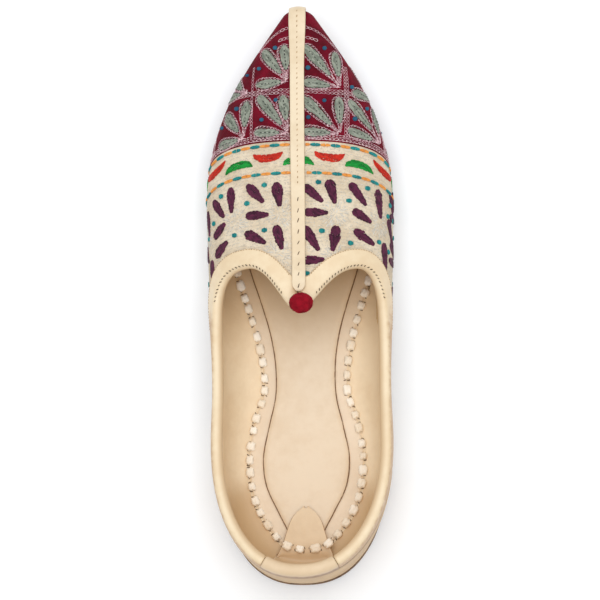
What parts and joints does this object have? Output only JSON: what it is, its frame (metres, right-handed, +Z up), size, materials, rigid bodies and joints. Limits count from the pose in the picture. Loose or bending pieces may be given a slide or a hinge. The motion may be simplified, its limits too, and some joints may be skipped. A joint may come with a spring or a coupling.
{
  "type": "mojari shoe",
  "caption": "Flat slip-on shoe with a pointed, slightly sprung toe, a heart-shaped throat with a pompom, bound edges and a hollow upper on a thin leather sole.",
  "frame": {"origin": "on the floor under the middle of the shoe's box", "axes": "+Y towards the toe, +Z up, +X to the right seen from behind the heel"},
  "size_m": [0.0851, 0.263, 0.0618],
  "materials": {
    "sole_leather": "hard vegetable-tanned leather, matt",
    "insole_leather": "smooth pale leather, satin",
    "sock_leather": "soft padded leather, satin",
    "embroidered_cloth": "woven cloth with thread embroidery, matt",
    "binding_leather": "smooth tan leather, satin",
    "counter_leather": "smooth tan leather, satin",
    "wrap_leather": "smooth warm tan leather, satin",
    "strip_leather": "smooth pale tan leather, satin",
    "crimson_felt": "felted wool, matt"
  },
  "bodies": {
    "root": {"outsole": "sole_leather", "insole": "insole_leather", "sock_pad": "sock_leather", "upper": "embroidered_cloth", "collar_binding_left": "binding_leather", "collar_binding_right": "binding_leather", "heel_counter": "counter_leather", "heel_wrap": "wrap_leather", "ridge_strip": "strip_leather", "pompom": "crimson_felt"}
  },
  "joints": []
}
